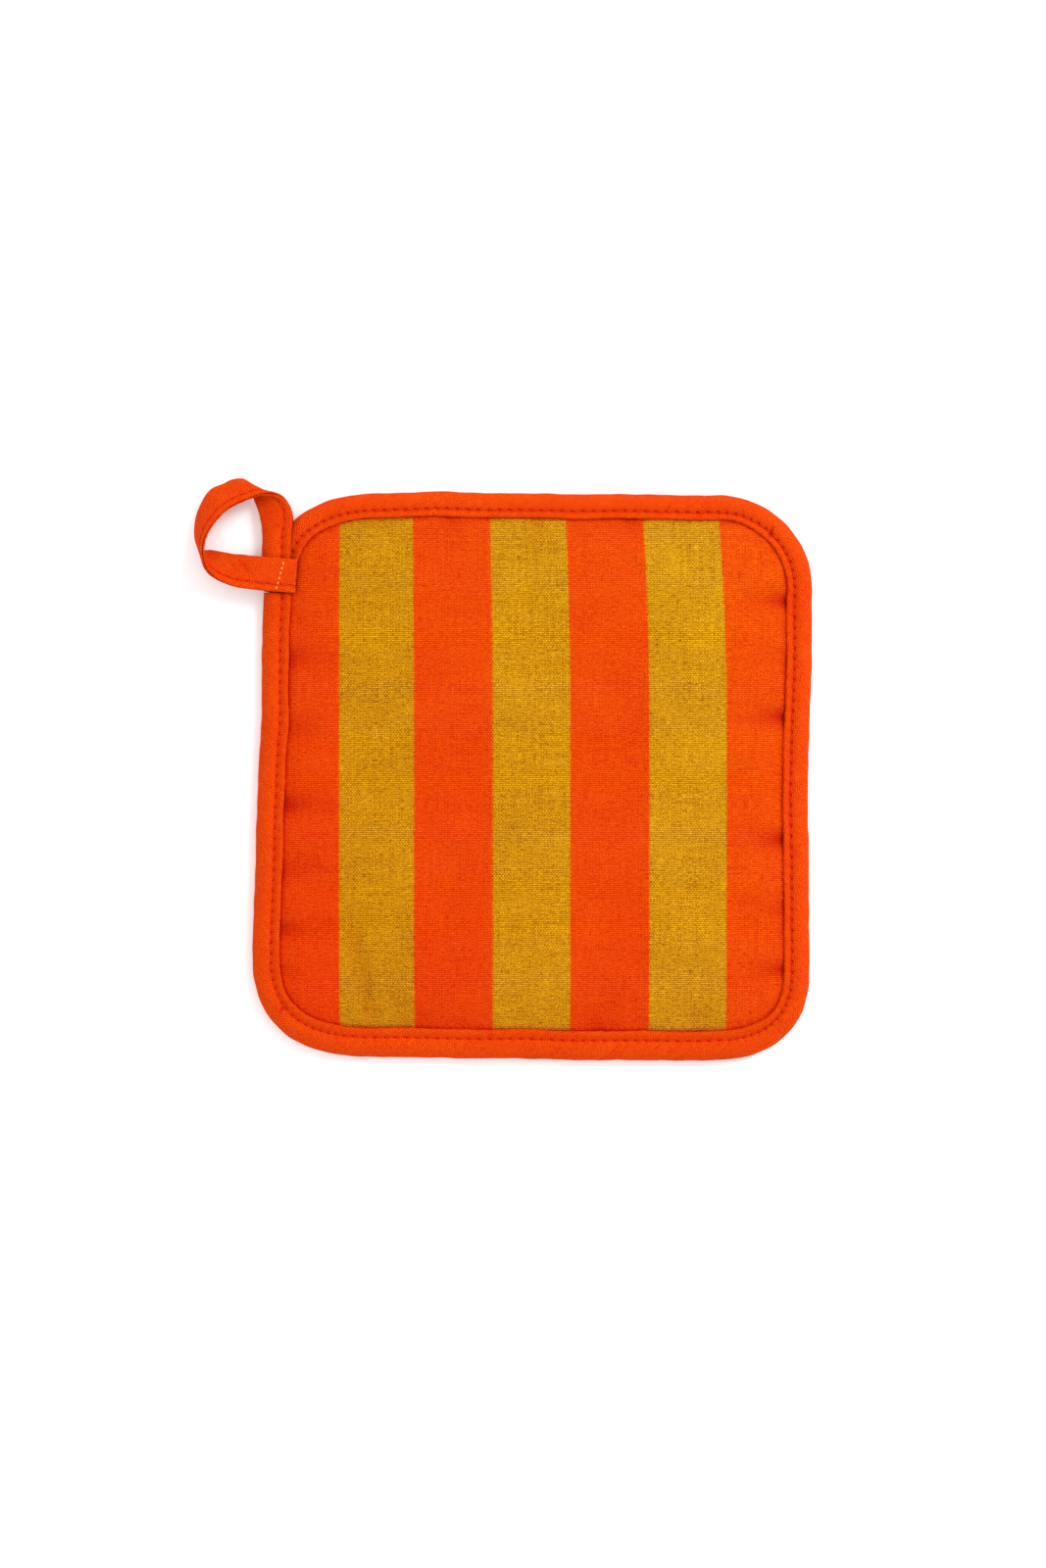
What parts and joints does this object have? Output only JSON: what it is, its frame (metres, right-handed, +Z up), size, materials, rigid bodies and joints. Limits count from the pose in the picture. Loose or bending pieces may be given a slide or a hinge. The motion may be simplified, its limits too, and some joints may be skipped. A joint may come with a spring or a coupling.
{
  "type": "pot holder",
  "caption": "Square padded cotton pot holder with rounded corners, a sewn fabric edge binding and a hanging loop folded from the binding tape at one corner.",
  "frame": {"origin": "centre of the pad's back face, which it lies on", "axes": "+Z up through the pad's thickness to its striped front, +Y along the stripes to the edge whose left end has the loop, +X to the right seen from the front"},
  "size_m": [0.2252, 0.2098, 0.0117],
  "materials": {
    "front_cloth": "plain-weave cotton canvas in orange and mustard stripes, matt",
    "back_cloth": "plain-weave cotton canvas, orange, matt",
    "binding_tape": "bias-cut cotton tape, orange, matt",
    "sewing_thread": "spun polyester thread, orange, slight sheen",
    "wadding": "needled cotton wadding, off-white",
    "felt": "needled insulating felt, grey-white"
  },
  "bodies": {
    "pad": {"back_panel": "back_cloth", "insulating_felt": "felt", "wadding": "wadding", "front_panel": "front_cloth", "edge_binding": "binding_tape", "loop_strap": "binding_tape", "loop_end": "binding_tape", "front_seam_thread": "sewing_thread", "back_seam_thread": "sewing_thread", "strap_seam_thread": "sewing_thread", "loop_end_seam_thread": "sewing_thread", "loop_tack_thread": "sewing_thread"},
    "loop": {"hanging_loop": "binding_tape", "loop_seam_thread": "sewing_thread"}
  },
  "joints": [
    {"name": "loop_swing", "type": "hinge", "parent": "pad", "child": "loop", "pos_m": [-0.09984, 0.0788, 0.0071], "axis": [0.2588, 0.9659, 0], "range_deg": [-90, 120], "stiffness_Nm_per_rad": 0.0008}
  ]
}
